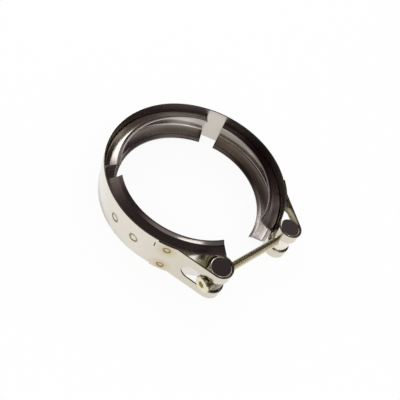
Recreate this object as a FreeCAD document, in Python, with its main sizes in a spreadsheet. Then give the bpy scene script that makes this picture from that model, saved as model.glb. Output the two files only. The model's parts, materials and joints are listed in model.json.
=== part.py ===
import FreeCAD, Part
import math
import os

import Sketcher

# Exhaust clamp with three V inserts welded inside a spring band that ends in two loops.
# Frame: Z is the ring's axis, X is the screw's axis, and the origin is the ring's centre
# at half the band's width. The opening and the screw lie on the -Y side.

SIZES = [
    ("band_outer_radius", 69.0, "outside of the band"),
    ("strip_thickness", 1.0, "sheet of the band"),
    ("strip_width", 29.4, "width of the band"),
    ("loop_standoff", 0.441, "inner leg's crossing from the band to the loop"),
    ("trunnion_spacing", 67.2, "between the two trunnion axes"),
    ("trunnion_radius", 7.5, "cross pins in the loops"),
    ("trunnion_length", 29.0, "length of the cross pins"),
    ("rim_round", 1.0, "rounded rims of the cross pins"),
    ("loop_clearance", 0.3, "cross pin to the loop round it"),
    ("leg_lift_angle", 41.0, "where the outer leg leaves the band, degrees below X"),
    ("strip_end_angle", 30.0, "where the strip ends on the band, degrees below X"),
    ("leg_bend_radius", 2.0, "outside bend at the foot of the outer leg"),
    ("slot_width", 13.6, "slot through both legs for the screw's head"),
    ("slot_land", 7.5, "bend to the slot's round end"),
    ("insert_gap", 0.2, "band to the back of an insert"),
    ("insert_thickness", 1.5, "sheet of the inserts"),
    ("insert_bend_radius", 1.5, "inside bend between web and leg"),
    ("insert_leg_angle", 20.0, "lean of an insert's legs"),
    ("lip_flare_angle", 40.0, "lean of an insert's lips"),
    ("lip_flare_length", 3.2, "straight part of a lip"),
    ("lip_flare_radius", 2.0, "outside bend between leg and lip"),
    ("insert_depth", 11.5, "back of an insert to its lips, towards the centre"),
    ("mouth_width", 26.2, "over the outer corners of the lips"),
    ("rear_insert_start", 44.7, "degrees from X"),
    ("rear_insert_sweep", 102.6, "degrees"),
    ("left_insert_start", 157.4, "degrees from X"),
    ("left_insert_sweep", 94.4, "degrees"),
    ("right_insert_start", 290.1, "degrees from X"),
    ("right_insert_sweep", 102.0, "degrees"),
    ("first_weld_angle", 0.0, "side weld, degrees below X"),
    ("second_weld_angle", 16.0, "side weld, degrees below X"),
    ("leg_weld_angle", 36.0, "welds of the strip's ends, degrees below X"),
    ("leg_weld_height", 9.5, "welds of the strip's ends, above and below the middle"),
    ("rear_weld_step", 27.5, "rear welds, degrees apart"),
    ("weld_radius", 2.7, "electrode mark"),
    ("weld_depth", 0.2, "electrode mark"),
    ("shank_radius", 3.0, "screw"),
    ("shank_length", 80.0, "screw, under its head"),
    ("shank_chamfer", 0.7, "screw's tip"),
    ("head_radius", 6.0, "screw's head"),
    ("head_height", 7.3, "screw's head"),
    ("head_chamfer", 0.5, "screw's head"),
    ("head_rim", 2.0, "end of the head to its groove"),
    ("head_groove", 0.6, "width and depth of the head's groove"),
    ("recess_tip_radius", 2.8, "six-lobe recess"),
    ("recess_root_radius", 1.995, "six-lobe recess"),
    ("recess_lobe_radius", 0.45, "six-lobe recess"),
    ("recess_depth", 3.4, "six-lobe recess"),
    ("plain_bore_radius", 3.3, "clearance bore of the plain trunnion"),
    ("seat_depth", 3.2, "how deep the head's seat is cut into the plain trunnion"),
    ("seat_clearance", 0.25, "head to the wall of its seat"),
    ("head_gap", 0.1, "under the head"),
    ("thread_clearance", 0.05, "screw to the threaded trunnion"),
    ("bore_chamfer", 0.6, "mouths of the threaded bore"),
]

# Sizes that follow from the ones above. A loop lies against the band where its inner leg
# leaves it, so the pins' distance from the ring's centre comes from the band and the pins.
FOLLOWING = [
    (
        "trunnion_reach", "=band_outer_radius + trunnion_radius + loop_clearance + loop_standoff",
        "ring centre to a trunnion's axis",
    ),
    (
        "screw_line_offset", "=sqrt(trunnion_reach ^ 2 - (trunnion_spacing / 2) ^ 2)",
        "ring centre to the screw's axis",
    ),
    (
        "lip_radius", "=band_outer_radius - strip_thickness - insert_gap - insert_depth",
        "inside of the inserts' lips",
    ),
]

doc = FreeCAD.newDocument("ExhaustClamp")
sheet = doc.addObject("Spreadsheet::Sheet", "Sizes")
for row, (alias, value, note) in enumerate(SIZES + FOLLOWING, start=1):
    sheet.set("A%d" % row, alias)
    sheet.set("B%d" % row, str(value))
    sheet.set("C%d" % row, note)
    sheet.setAlias("B%d" % row, alias)
doc.recompute()


def size(alias):
    return float(sheet.get(alias))


def polar(radius, degrees):
    turn = math.radians(degrees)
    return FreeCAD.Vector(radius * math.cos(turn), radius * math.sin(turn), 0)


def angle_of(vector):
    return math.degrees(math.atan2(vector.y, vector.x))


def new_body(label):
    body = doc.addObject("PartDesign::Body", label)
    body.Label = label
    return body


def new_sketch(body, name, role, offset=None):
    sketch = body.newObject("Sketcher::SketchObject", name)
    plane = [f for f in body.Origin.OriginFeatures if f.Role == role][0]
    sketch.AttachmentSupport = [(plane, "")]
    sketch.MapMode = "FlatFace"
    if offset is not None:
        sketch.AttachmentOffset = offset
    return sketch


def add_line(sketch, start, end):
    return sketch.addGeometry(Part.LineSegment(start, end), False)


def add_arc(sketch, centre, radius, start, end):
    circle = Part.Circle(centre, FreeCAD.Vector(0, 0, 1), radius)
    first = math.radians(start)
    last = math.radians(end)
    return sketch.addGeometry(Part.ArcOfCircle(circle, first, last), False)


def bind(sketch, constraint, name, expression):
    index = sketch.addConstraint(constraint)
    sketch.renameConstraint(index, name)
    sketch.setExpression("Constraints." + name, expression)


def add_circle(sketch, centre, radius, expression):
    circle = Part.Circle(centre, FreeCAD.Vector(0, 0, 1), radius)
    index = sketch.addGeometry(circle, False)
    bind(sketch, Sketcher.Constraint("Radius", index, radius), "hole", expression)
    return index


def volume_of(feature):
    doc.recompute()
    return feature.Shape.Volume


def must_shrink(feature, before):
    after = volume_of(feature)
    if after >= before - 1e-6:
        raise RuntimeError(feature.Name + " cuts nothing")
    return after


# Insert: one bent channel, open towards the ring's centre

def channel_profile(sketch):
    """The channel's section, in the plane through the ring's axis.

    The two legs lean apart, and a lip at the edge of each leans further.
    """
    thick = size("insert_thickness")
    lean = size("insert_leg_angle")
    flare = size("lip_flare_angle")
    flare_out = size("lip_flare_radius")
    flare_in = flare_out + thick
    bend_in = size("insert_bend_radius")
    bend_out = bend_in + thick
    back = size("band_outer_radius") - size("strip_thickness") - size("insert_gap")
    lip = size("lip_radius")
    half = size("mouth_width") / 2
    # outwards from the leg's and the lip's outer faces
    leg_out = polar(1, 90 - lean)
    lip_out = polar(1, 90 - flare)
    # the lips end on one cylinder round the pipe
    corner = FreeCAD.Vector(lip, half, 0)
    edge = corner - FreeCAD.Vector(0, thick / lip_out.y, 0)
    lip_root = corner + polar(size("lip_flare_length"), -flare)
    hub = lip_root + lip_out * flare_out
    leg_top = hub - leg_out * flare_out
    centre_x = back - bend_out
    run = (centre_x + leg_out.x * bend_out - leg_top.x) / leg_out.y
    centre = leg_top + polar(run, -lean) - leg_out * bend_out
    leg_turn = 90 - lean
    back_top = FreeCAD.Vector(back, centre.y, 0)
    front_top = FreeCAD.Vector(back - thick, centre.y, 0)
    leg_root = centre + leg_out * bend_out
    inner_root = centre + leg_out * bend_in
    inner_top = hub - leg_out * flare_in
    inner_lip = hub - lip_out * flare_in

    def low(point):
        return FreeCAD.Vector(point.x, -point.y, 0)

    add_line(sketch, corner, lip_root)
    add_arc(sketch, hub, flare_out, 270 - flare, 270 - lean)
    add_line(sketch, leg_top, leg_root)
    add_arc(sketch, centre, bend_out, 0, leg_turn)
    add_line(sketch, back_top, low(back_top))
    add_arc(sketch, low(centre), bend_out, -leg_turn, 0)
    add_line(sketch, low(leg_root), low(leg_top))
    add_arc(sketch, low(hub), flare_out, 90 + lean, 90 + flare)
    add_line(sketch, low(lip_root), low(corner))
    add_line(sketch, low(corner), low(edge))
    add_line(sketch, low(edge), low(inner_lip))
    add_arc(sketch, low(hub), flare_in, 90 + lean, 90 + flare)
    add_line(sketch, low(inner_top), low(inner_root))
    add_arc(sketch, low(centre), bend_in, -leg_turn, 0)
    add_line(sketch, low(front_top), front_top)
    add_arc(sketch, centre, bend_in, 0, leg_turn)
    add_line(sketch, inner_root, inner_top)
    add_arc(sketch, hub, flare_in, 270 - flare, 270 - lean)
    add_line(sketch, inner_lip, edge)
    add_line(sketch, edge, corner)
    for joint in [
        (0, 2, 1, 1), (1, 2, 2, 1), (2, 2, 3, 2), (3, 1, 4, 1),
        (4, 2, 5, 2), (5, 1, 6, 1), (6, 2, 7, 1), (7, 2, 8, 1),
        (10, 2, 11, 2), (11, 1, 12, 1), (12, 2, 13, 1), (13, 2, 14, 1),
        (14, 2, 15, 1), (15, 2, 16, 1), (16, 2, 17, 2), (17, 1, 18, 1),
    ]:
        sketch.addConstraint(Sketcher.Constraint("Tangent", *joint))
    for joint in [
        (8, 2, 9, 1), (9, 2, 10, 1), (18, 2, 19, 1), (19, 2, 0, 1),
        (3, 3, 15, 3), (5, 3, 13, 3), (1, 3, 17, 3), (7, 3, 11, 3),
    ]:
        sketch.addConstraint(Sketcher.Constraint("Coincident", *joint))
    for one, other in [(0, 18), (8, 10)]:
        sketch.addConstraint(Sketcher.Constraint("Parallel", one, other))
    for pair in [(0, 1, 8, 2), (1, 3, 7, 3), (3, 3, 5, 3)]:
        sketch.addConstraint(Sketcher.Constraint("Symmetric", *pair, -1))
    for upright in (4, 9, 19):
        sketch.addConstraint(Sketcher.Constraint("Vertical", upright))
    for arc, radius, name, expression in [
        (15, bend_in, "bend", "Sizes.insert_bend_radius"),
        (13, bend_in, "low_bend", "Sizes.insert_bend_radius"),
        (3, bend_out, "outer_bend", "Sizes.insert_bend_radius + Sizes.insert_thickness"),
        (1, flare_out, "lip_bend", "Sizes.lip_flare_radius"),
        (7, flare_out, "low_lip_bend", "Sizes.lip_flare_radius"),
        (17, flare_in, "inner_lip_bend", "Sizes.lip_flare_radius + Sizes.insert_thickness"),
        (11, flare_in, "low_inner_lip", "Sizes.lip_flare_radius + Sizes.insert_thickness"),
    ]:
        bind(sketch, Sketcher.Constraint("Radius", arc, radius), name, expression)
    for line, angle, name, expression in [
        (0, flare, "lip_lean", "-Sizes.lip_flare_angle * 1 deg"),
        (2, lean, "leg_lean", "-Sizes.insert_leg_angle * 1 deg"),
    ]:
        bind(sketch, Sketcher.Constraint("Angle", line, math.radians(-angle)), name, expression)
    bind(
        sketch, Sketcher.Constraint("Distance", 0, size("lip_flare_length")), "lip_length",
        "Sizes.lip_flare_length",
    )
    bind(
        sketch, Sketcher.Constraint("DistanceY", 8, 2, 0, 1, 2 * half), "mouth",
        "Sizes.mouth_width",
    )
    bind(sketch, Sketcher.Constraint("DistanceX", -1, 1, 0, 1, lip), "lip", "Sizes.lip_radius")
    bind(
        sketch, Sketcher.Constraint("DistanceX", -1, 1, 4, 1, back), "back",
        "Sizes.band_outer_radius - Sizes.strip_thickness - Sizes.insert_gap",
    )


def make_insert(label):
    """A channel that starts on the X axis and is turned about Z to its place."""
    body = new_body(label)
    sketch = new_sketch(body, "section", "XZ_Plane")
    channel_profile(sketch)
    doc.recompute()
    channel = body.newObject("PartDesign::Revolution", "channel")
    channel.Profile = sketch
    channel.ReferenceAxis = (sketch, ["V_Axis"])
    channel.setExpression("Angle", "Sizes.%s_sweep" % label)
    body.Placement = FreeCAD.Placement(
        FreeCAD.Vector(0, 0, 0), FreeCAD.Rotation(FreeCAD.Vector(0, 0, 1), 10)
    )
    body.setExpression(".Placement.Rotation.Angle", "Sizes.%s_start * 1 deg" % label)
    return body


# Band: one strip, with a loop at each end that comes back and is welded onto the band

class Loop:
    """Plan of the loop on the +X side, at the middle of the strip's thickness."""

    def __init__(self):
        self.thick = size("strip_thickness")
        self.outer = size("band_outer_radius")
        self.inner = self.outer - self.thick
        self.middle = self.outer - self.thick / 2
        self.eye = size("trunnion_radius") + size("loop_clearance")
        self.wrap = self.eye + self.thick
        self.pin = FreeCAD.Vector(
            size("trunnion_spacing") / 2, -size("screw_line_offset"), 0
        )
        far = self.pin.Length
        # inner leg: straight, tangent to the ring and to the loop on opposite sides
        reach = self.middle + self.eye + self.thick / 2
        if far <= reach:
            raise RuntimeError("the trunnion lies inside the band")
        self.leave = angle_of(self.pin) + math.degrees(math.acos(reach / far))
        self.inner_side = self.leave + 180
        # outer leg: straight, from its foot on the band to the far side of the loop
        self.foot_angle = -size("leg_lift_angle")
        foot = polar(self.outer + self.thick / 2, self.foot_angle)
        gap = self.pin - foot
        lean = math.degrees(math.asin((self.eye + self.thick / 2) / gap.Length))
        heading = angle_of(gap) + lean
        self.foot = foot
        self.along = polar(1, heading)
        self.normal = polar(1, heading + 90)
        self.outer_side = heading + 90

    def leg_point(self, run, lift):
        return self.foot + self.along * run + self.normal * lift

    def leg_length(self):
        return (self.pin - self.foot).dot(self.along)


def line_meets_circle(point, direction, radius):
    """The place where a line that starts near a circle round the origin crosses it."""
    half = point.dot(direction)
    rest = point.dot(point) - radius * radius
    root = math.sqrt(half * half - rest)
    near = min((-half - root, -half + root), key=abs)
    return point + direction * near


def foot_bend(loop):
    """Centre and ends of the round corner between the strip's end and the outer leg."""
    radius = size("leg_bend_radius")
    reach = loop.outer + loop.thick + radius
    base = loop.foot + loop.normal * (loop.thick / 2 + radius)
    centre = line_meets_circle(base, loop.along, reach)
    on_ring = centre * ((reach - radius) / reach)
    on_leg = centre - loop.normal * radius
    return centre, radius, on_ring, on_leg


def mirrored(point):
    return FreeCAD.Vector(-point.x, point.y, point.z)


def side_arc(sketch, side, centre, radius, start, end):
    if side > 0:
        return add_arc(sketch, centre, radius, start, end)
    return add_arc(sketch, mirrored(centre), radius, 180 - end, 180 - start)


def side_line(sketch, side, start, end):
    if side > 0:
        return add_line(sketch, start, end)
    return add_line(sketch, mirrored(start), mirrored(end))


def band_outline(sketch, loop):
    origin = FreeCAD.Vector(0, 0, 0)
    leave = loop.leave
    add_arc(sketch, origin, loop.inner, leave, 180 - leave)
    end_angle = -size("strip_end_angle")
    add_arc(sketch, origin, loop.outer, end_angle, 180 - end_angle)
    centre, radius, on_ring, on_leg = foot_bend(loop)
    for side in (1, -1):
        ring_point = polar(loop.inner, leave)
        wrap_start = loop.pin + polar(loop.wrap, loop.inner_side)
        side_line(sketch, side, ring_point, wrap_start)
        wrap_end = loop.pin + polar(loop.wrap, loop.outer_side + 360)
        side_arc(sketch, side, loop.pin, loop.wrap, loop.inner_side, loop.outer_side + 360)
        side_line(sketch, side, wrap_end, on_leg)
        corner_start = angle_of(on_ring - centre)
        corner_end = angle_of(on_leg - centre)
        if corner_end < corner_start:
            corner_end += 360
        side_arc(sketch, side, centre, radius, corner_start, corner_end)
        over = loop.outer + loop.thick
        side_arc(sketch, side, origin, over, angle_of(on_ring), end_angle)
        side_line(sketch, side, polar(over, end_angle), polar(loop.outer, end_angle))


def eye_outline(sketch, loop):
    """The open space inside a loop, between the band, the two legs and the wrap."""
    origin = FreeCAD.Vector(0, 0, 0)
    leave_point = polar(loop.outer, loop.leave)
    leg_start = loop.foot - loop.normal * (loop.thick / 2)
    meet = line_meets_circle(leg_start, loop.along, loop.outer)
    for side in (1, -1):
        side_arc(sketch, side, origin, loop.outer, loop.leave, angle_of(meet))
        eye_start = loop.pin + polar(loop.eye, loop.inner_side)
        eye_end = loop.pin + polar(loop.eye, loop.outer_side)
        side_line(sketch, side, leave_point, eye_start)
        side_arc(sketch, side, loop.pin, loop.eye, loop.inner_side, loop.outer_side + 360)
        side_line(sketch, side, eye_end, meet)


def close_corners(sketch):
    """Ties every pair of curve ends that lie on each other."""
    ends = []
    for index, curve in enumerate(sketch.Geometry):
        ends.append((index, 1, curve.StartPoint))
        ends.append((index, 2, curve.EndPoint))
    for i, (first, first_end, here) in enumerate(ends):
        for second, second_end, there in ends[i + 1:]:
            if first != second and here.distanceToPoint(there) < 1e-6:
                sketch.addConstraint(
                    Sketcher.Constraint("Coincident", first, first_end, second, second_end)
                )


def make_band():
    body = new_body("band")
    loop = Loop()
    sketch = new_sketch(body, "plan", "XY_Plane")
    band_outline(sketch, loop)
    eye_outline(sketch, loop)
    close_corners(sketch)
    bind(
        sketch, Sketcher.Constraint("Radius", 1, loop.outer), "outer_radius",
        "Sizes.band_outer_radius",
    )
    bind(
        sketch, Sketcher.Constraint("Radius", 0, loop.inner), "inner_radius",
        "Sizes.band_outer_radius - Sizes.strip_thickness",
    )
    doc.recompute()
    strip = body.newObject("PartDesign::Pad", "strip")
    strip.Profile = sketch
    strip.Midplane = True
    strip.setExpression("Length", "Sizes.strip_width")
    volume = volume_of(strip)
    cuts = slot_cuts(body, loop, volume)
    mirror = body.newObject("PartDesign::Mirrored", "other_slot")
    mirror.Originals = cuts
    plane = [f for f in body.Origin.OriginFeatures if f.Role == "YZ_Plane"][0]
    mirror.MirrorPlane = (plane, [""])
    body.Tip = mirror
    before = cuts[-1].Shape.Volume
    must_shrink(mirror, before)
    weld_marks(body)
    return body


def slot_cuts(body, loop, volume):
    """The slot runs from the outer leg round the loop to the inner leg."""
    half = size("slot_width") / 2
    reach = loop.wrap + 2
    start = size("slot_land") + half
    turn = new_sketch(body, "slot_plan", "XY_Plane")
    corners = [loop.pin, loop.pin + FreeCAD.Vector(-reach, 0, 0)]
    corners.append(loop.pin + FreeCAD.Vector(-reach, -reach, 0))
    corners.append(loop.pin + loop.normal * reach + loop.along * reach)
    corners.append(loop.pin + loop.normal * reach)
    corners.append(loop.leg_point(start, 3 * loop.thick))
    corners.append(loop.leg_point(start, -3 * loop.thick))
    for i, corner in enumerate(corners):
        add_line(turn, corner, corners[(i + 1) % len(corners)])
    close_corners(turn)
    doc.recompute()
    round_cut = body.newObject("PartDesign::Pocket", "slot_round_loop")
    round_cut.Profile = turn
    round_cut.Midplane = True
    round_cut.setExpression("Length", "Sizes.slot_width")
    volume = must_shrink(round_cut, volume)
    # round end in the outer leg, square to the leg
    place = loop.leg_point(start, 3 * loop.thick)
    basis = FreeCAD.Rotation(
        FreeCAD.Vector(-loop.along.x, -loop.along.y, 0),
        FreeCAD.Vector(0, 0, 1),
        FreeCAD.Vector(loop.normal.x, loop.normal.y, 0),
        "ZXY",
    )
    leg_end = new_sketch(body, "slot_leg_end", "XY_Plane", FreeCAD.Placement(place, basis))
    add_circle(leg_end, FreeCAD.Vector(0, 0, 0), half, "Sizes.slot_width / 2")
    doc.recompute()
    leg_cut = body.newObject("PartDesign::Pocket", "slot_in_leg")
    leg_cut.Profile = leg_end
    leg_cut.Length = 6 * loop.thick
    volume = must_shrink(leg_cut, volume)
    # round end in the inner leg, on the screw's axis
    side = FreeCAD.Rotation(FreeCAD.Vector(0, 1, 0), 90)
    turned = FreeCAD.Rotation(FreeCAD.Vector(1, 0, 0), 0).multiply(side)
    inner_end = new_sketch(
        body, "slot_inner_end", "XY_Plane", FreeCAD.Placement(loop.pin, turned)
    )
    add_circle(inner_end, FreeCAD.Vector(0, 0, 0), half, "Sizes.slot_width / 2")
    doc.recompute()
    inner_cut = body.newObject("PartDesign::Pocket", "slot_on_screw")
    inner_cut.Profile = inner_end
    inner_cut.Length = reach
    volume = must_shrink(inner_cut, volume)
    return [round_cut, leg_cut, inner_cut]


def weld_places():
    """Angle and height of each electrode mark, and the surface that it lies on."""
    outer = size("band_outer_radius")
    over = outer + size("strip_thickness")
    middle = size("rear_insert_start") + size("rear_insert_sweep") / 2
    places = []
    for step in (-1, 0, 1):
        places.append((middle + step * size("rear_weld_step"), 0.0, outer))
    for side in (1, -1):
        for alias in ("first_weld_angle", "second_weld_angle"):
            turn = -size(alias)
            places.append((turn if side > 0 else 180 - turn, 0.0, outer))
        turn = -size("leg_weld_angle")
        for up in (1, -1):
            height = up * size("leg_weld_height")
            places.append((turn if side > 0 else 180 - turn, height, over))
    return places


def weld_marks(body):
    clear = 1.0
    for number, (turn, height, radius) in enumerate(weld_places(), start=1):
        out = polar(radius + clear, turn)
        place = FreeCAD.Vector(out.x, out.y, height)
        facing = FreeCAD.Rotation(
            FreeCAD.Vector(-math.sin(math.radians(turn)), math.cos(math.radians(turn)), 0),
            FreeCAD.Vector(0, 0, 1),
            polar(1, turn),
            "ZXY",
        )
        sketch = new_sketch(
            body, "weld_%d" % number, "XY_Plane", FreeCAD.Placement(place, facing)
        )
        add_circle(
            sketch, FreeCAD.Vector(0, 0, 0), size("weld_radius"), "Sizes.weld_radius"
        )
        doc.recompute()
        faces = len(body.Tip.Shape.Faces)
        mark = body.newObject("PartDesign::Pocket", "weld_mark_%d" % number)
        mark.Profile = sketch
        mark.Length = clear + size("weld_depth")
        doc.recompute()
        if len(mark.Shape.Faces) <= faces:
            raise RuntimeError(mark.Name + " cuts nothing")


# Trunnions: round cross pins that the screw passes through

def place_trunnion(body, side):
    sign = "" if side > 0 else "-"
    body.setExpression(".Placement.Base.x", sign + "Sizes.trunnion_spacing / 2")
    body.setExpression(".Placement.Base.y", "-Sizes.screw_line_offset")


def pin_blank(body):
    sketch = new_sketch(body, "bar_section", "XY_Plane")
    add_circle(sketch, FreeCAD.Vector(0, 0, 0), size("trunnion_radius"), "Sizes.trunnion_radius")
    sketch.addConstraint(Sketcher.Constraint("Coincident", 0, 3, -1, 1))
    doc.recompute()
    bar = body.newObject("PartDesign::Pad", "bar")
    bar.Profile = sketch
    bar.Midplane = True
    bar.setExpression("Length", "Sizes.trunnion_length")
    doc.recompute()
    rims = []
    for index, edge in enumerate(bar.Shape.Edges, start=1):
        if len(edge.Vertexes) == 1 and isinstance(edge.Curve, Part.Circle):
            rims.append("Edge%d" % index)
    rounded = body.newObject("PartDesign::Fillet", "rims")
    rounded.Base = (bar, rims)
    rounded.setExpression("Radius", "Sizes.rim_round")
    doc.recompute()
    return rounded


def cross_bore(body, name, radius, expression, volume):
    sketch = new_sketch(body, name + "_section", "YZ_Plane")
    add_circle(sketch, FreeCAD.Vector(0, 0, 0), radius, expression)
    doc.recompute()
    bore = body.newObject("PartDesign::Pocket", name)
    bore.Profile = sketch
    bore.Midplane = True
    bore.setExpression("Length", "4 * Sizes.trunnion_radius")
    return must_shrink(bore, volume)


def make_plain_trunnion():
    body = new_body("plain_trunnion")
    blank = pin_blank(body)
    radius = size("plain_bore_radius")
    volume = volume_of(blank)
    volume = cross_bore(body, "clearance_bore", radius, "Sizes.plain_bore_radius", volume)
    # flat round seat for the screw's head, cut from the side away from the opening
    wide = size("head_radius") + size("seat_clearance")
    flat = size("trunnion_radius") - size("seat_depth")
    place = FreeCAD.Placement(FreeCAD.Vector(0, 0, -flat), FreeCAD.Rotation())
    sketch = new_sketch(body, "seat_section", "YZ_Plane", place)
    add_circle(
        sketch, FreeCAD.Vector(0, 0, 0), wide, "Sizes.head_radius + Sizes.seat_clearance"
    )
    doc.recompute()
    seat = body.newObject("PartDesign::Pocket", "head_seat")
    seat.Profile = sketch
    seat.Reversed = False
    seat.setExpression("Length", "2 * Sizes.trunnion_radius")
    doc.recompute()
    if seat.Shape.BoundBox.XMin + flat > 0.5 or seat.Shape.Volume >= volume:
        seat.Reversed = True
    must_shrink(seat, volume)
    place_trunnion(body, -1)
    return body


def make_threaded_trunnion():
    body = new_body("threaded_trunnion")
    blank = pin_blank(body)
    radius = size("shank_radius") + size("thread_clearance")
    volume = volume_of(blank)
    volume = cross_bore(
        body, "thread_bore", radius, "Sizes.shank_radius + Sizes.thread_clearance", volume
    )
    # small countersink at each mouth of the bore, turned about the bore's axis
    face = size("trunnion_radius")
    wide = radius + size("bore_chamfer")
    sketch = new_sketch(body, "mouth_section", "XZ_Plane")
    for side in (1, -1):
        deep = face - size("bore_chamfer")
        points = [
            FreeCAD.Vector(side * deep, radius - 0.01, 0),
            FreeCAD.Vector(side * (face + 1), radius - 0.01, 0),
            FreeCAD.Vector(side * (face + 1), wide + 1, 0),
            FreeCAD.Vector(side * deep, radius, 0),
        ]
        for i, point in enumerate(points):
            add_line(sketch, point, points[(i + 1) % len(points)])
    close_corners(sketch)
    doc.recompute()
    mouths = body.newObject("PartDesign::Groove", "bore_mouths")
    mouths.Profile = sketch
    mouths.ReferenceAxis = (sketch, ["H_Axis"])
    mouths.Angle = 360
    must_shrink(mouths, volume)
    place_trunnion(body, 1)
    return body


# Screw: cylinder head with a groove and a six-lobe recess

def lobe_curves(sketch):
    tip = size("recess_tip_radius")
    root = size("recess_root_radius")
    lobe = size("recess_lobe_radius")
    lobe_centre = tip - lobe
    cosine = math.cos(math.radians(30))
    # the flank arc touches both neighbouring lobes and reaches in to the root radius
    top = lobe_centre ** 2 - (root - lobe) ** 2
    flank_centre = top / (2 * (lobe_centre * cosine - (root - lobe)))
    flank = flank_centre - root
    touch = polar(flank_centre, 30) - FreeCAD.Vector(lobe_centre, 0, 0)
    spread = angle_of(touch)
    for step in range(6):
        turn = 60 * step
        centre = polar(lobe_centre, turn)
        add_arc(sketch, centre, lobe, turn - spread, turn + spread)
        middle = polar(flank_centre, turn + 30)
        back = turn + 180 + spread
        half_turn = turn + 30 + 180
        opening = back - half_turn
        add_arc(sketch, middle, flank, half_turn - opening, half_turn + opening)
    close_corners(sketch)


def make_screw():
    body = new_body("screw")
    head = size("head_height")
    wide = size("head_radius")
    shank = size("shank_radius")
    end = size("shank_length")
    chamfer = size("head_chamfer")
    tip = size("shank_chamfer")
    rim = size("head_rim")
    groove = size("head_groove")
    # half section: x along the screw with 0 under the head, y out from its axis
    points = [
        (-head, 0), (-head, wide - chamfer), (-head + chamfer, wide),
        (-head + rim, wide), (-head + rim, wide - groove),
        (-head + rim + groove, wide - groove), (-head + rim + groove, wide),
        (0, wide), (0, shank), (end - tip, shank), (end, shank - tip), (end, 0),
    ]
    sketch = new_sketch(body, "half_section", "XZ_Plane")
    for i, (along, out) in enumerate(points):
        ahead = points[(i + 1) % len(points)]
        add_line(sketch, FreeCAD.Vector(along, out, 0), FreeCAD.Vector(ahead[0], ahead[1], 0))
    close_corners(sketch)
    doc.recompute()
    turned = body.newObject("PartDesign::Revolution", "turned_blank")
    turned.Profile = sketch
    turned.ReferenceAxis = (sketch, ["H_Axis"])
    turned.Angle = 360
    volume = volume_of(turned)
    place = FreeCAD.Placement(FreeCAD.Vector(0, 0, -head), FreeCAD.Rotation())
    recess = new_sketch(body, "six_lobe_section", "YZ_Plane", place)
    lobe_curves(recess)
    doc.recompute()
    cut = body.newObject("PartDesign::Pocket", "six_lobe_recess")
    cut.Profile = recess
    cut.Reversed = True
    cut.setExpression("Length", "Sizes.recess_depth")
    must_shrink(cut, volume)
    body.setExpression(
        ".Placement.Base.x",
        "-Sizes.trunnion_spacing / 2 - Sizes.trunnion_radius + Sizes.seat_depth - Sizes.head_gap",
    )
    body.setExpression(".Placement.Base.y", "-Sizes.screw_line_offset")
    return body


def make_all():
    return [
        make_band(), make_insert("rear_insert"), make_insert("left_insert"),
        make_insert("right_insert"), make_plain_trunnion(), make_threaded_trunnion(),
        make_screw(),
    ]


bodies = make_all()
doc.recompute()
for item in doc.Objects:
    if "Invalid" in item.State or "Error" in item.State:
        raise RuntimeError("failed: %s %s" % (item.Name, item.State))
os.makedirs("parts", exist_ok=True)
for body in bodies:
    shape = body.Shape
    if shape.isNull() or not shape.isValid() or len(shape.Solids) != 1:
        raise RuntimeError("bad shape: " + body.Label)
    shape.exportStep(os.path.join("parts", body.Label + ".step"))
    box = shape.BoundBox
    print("%s volume %.1f x %.2f..%.2f y %.2f..%.2f z %.2f..%.2f" % (
        body.Label, shape.Volume, box.XMin, box.XMax, box.YMin, box.YMax, box.ZMin, box.ZMax))
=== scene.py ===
import contextlib
import json
import math

import bmesh
import bpy
from mathutils import Matrix, Vector
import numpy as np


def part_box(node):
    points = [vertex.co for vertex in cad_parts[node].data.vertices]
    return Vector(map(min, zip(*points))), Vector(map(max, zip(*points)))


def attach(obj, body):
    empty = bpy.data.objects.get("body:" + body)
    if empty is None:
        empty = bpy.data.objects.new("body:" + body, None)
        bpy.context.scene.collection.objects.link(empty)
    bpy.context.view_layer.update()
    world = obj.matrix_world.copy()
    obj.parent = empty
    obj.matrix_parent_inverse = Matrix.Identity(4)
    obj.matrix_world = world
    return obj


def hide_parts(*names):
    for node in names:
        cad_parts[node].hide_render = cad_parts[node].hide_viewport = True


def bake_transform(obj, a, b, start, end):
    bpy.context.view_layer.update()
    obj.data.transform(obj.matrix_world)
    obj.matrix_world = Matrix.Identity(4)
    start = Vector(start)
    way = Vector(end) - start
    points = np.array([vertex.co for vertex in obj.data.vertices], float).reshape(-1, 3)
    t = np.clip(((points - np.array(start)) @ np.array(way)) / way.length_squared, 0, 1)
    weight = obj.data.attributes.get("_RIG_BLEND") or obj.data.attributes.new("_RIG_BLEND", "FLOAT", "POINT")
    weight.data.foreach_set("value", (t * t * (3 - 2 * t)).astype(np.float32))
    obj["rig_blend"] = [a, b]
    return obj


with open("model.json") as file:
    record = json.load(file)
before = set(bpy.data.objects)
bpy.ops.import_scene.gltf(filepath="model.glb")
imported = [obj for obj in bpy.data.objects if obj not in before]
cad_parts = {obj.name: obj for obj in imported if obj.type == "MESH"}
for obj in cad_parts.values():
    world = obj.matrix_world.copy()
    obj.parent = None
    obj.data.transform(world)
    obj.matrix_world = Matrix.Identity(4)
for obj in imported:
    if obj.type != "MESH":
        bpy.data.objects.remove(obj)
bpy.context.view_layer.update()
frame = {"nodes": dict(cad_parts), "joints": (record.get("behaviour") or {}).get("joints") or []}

# Sizes of the clamp in metres and degrees. Z is the ring's axis, X the screw's, and +Y the rear.
BAND_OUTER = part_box("band")[1].x
STRIP_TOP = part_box("band")[1].z
SHEET = 0.001
INSERT_BACK = 0.0678
INSERT_SHEET = 0.0015
INSERT_BEND = 0.0015
LEG_LEAN = 20
LIP_LEAN = 40
LIP_LENGTH = 0.0032
LIP_BEND = 0.002
LIP = 0.0563
LIP_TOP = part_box("left_insert")[1].z
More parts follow.
